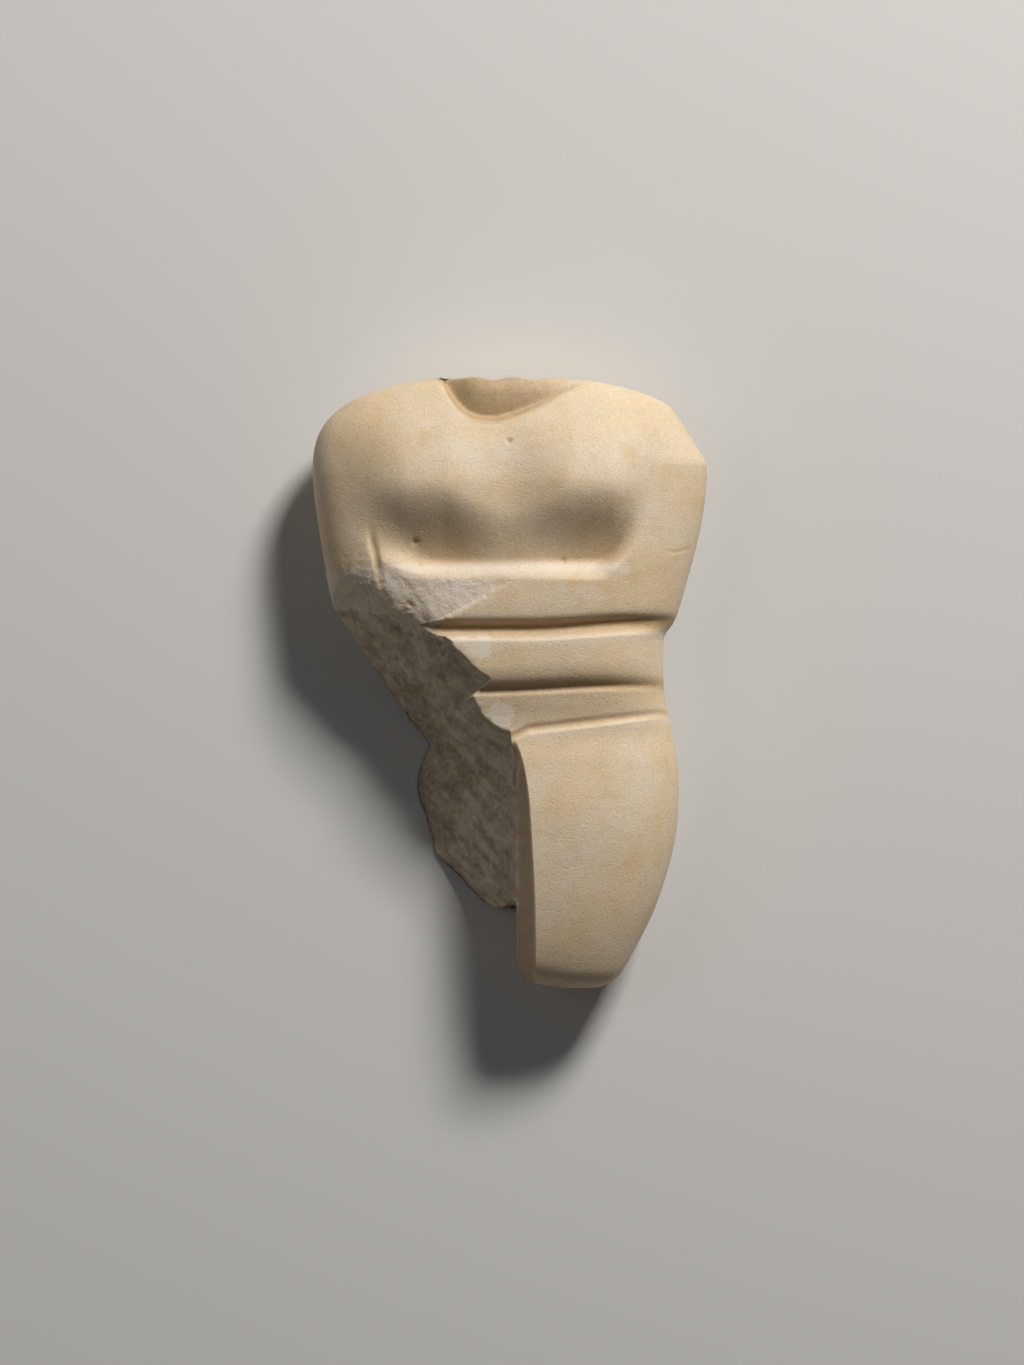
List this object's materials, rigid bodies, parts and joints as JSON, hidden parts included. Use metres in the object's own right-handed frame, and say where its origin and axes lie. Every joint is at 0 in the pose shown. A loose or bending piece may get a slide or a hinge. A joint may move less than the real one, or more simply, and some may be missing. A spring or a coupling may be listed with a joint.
{
  "type": "cycladic figurine",
  "caption": "Broken marble figurine of a standing woman with folded arms, lying on its back: headless torso with one thigh, the other leg and one elbow broken away.",
  "frame": {"origin": "under the middle of the figurine, on the plane that its back rests on", "axes": "+X to the figure's own left, +Y up the body towards the neck, +Z out of the chest; the figurine lies on its back"},
  "size_m": [0.0909, 0.14, 0.0341],
  "materials": {
    "marble": "weathered, ochre patina, grey-white where freshly broken"
  },
  "bodies": {
    "root": {"figurine": "marble"}
  },
  "joints": []
}
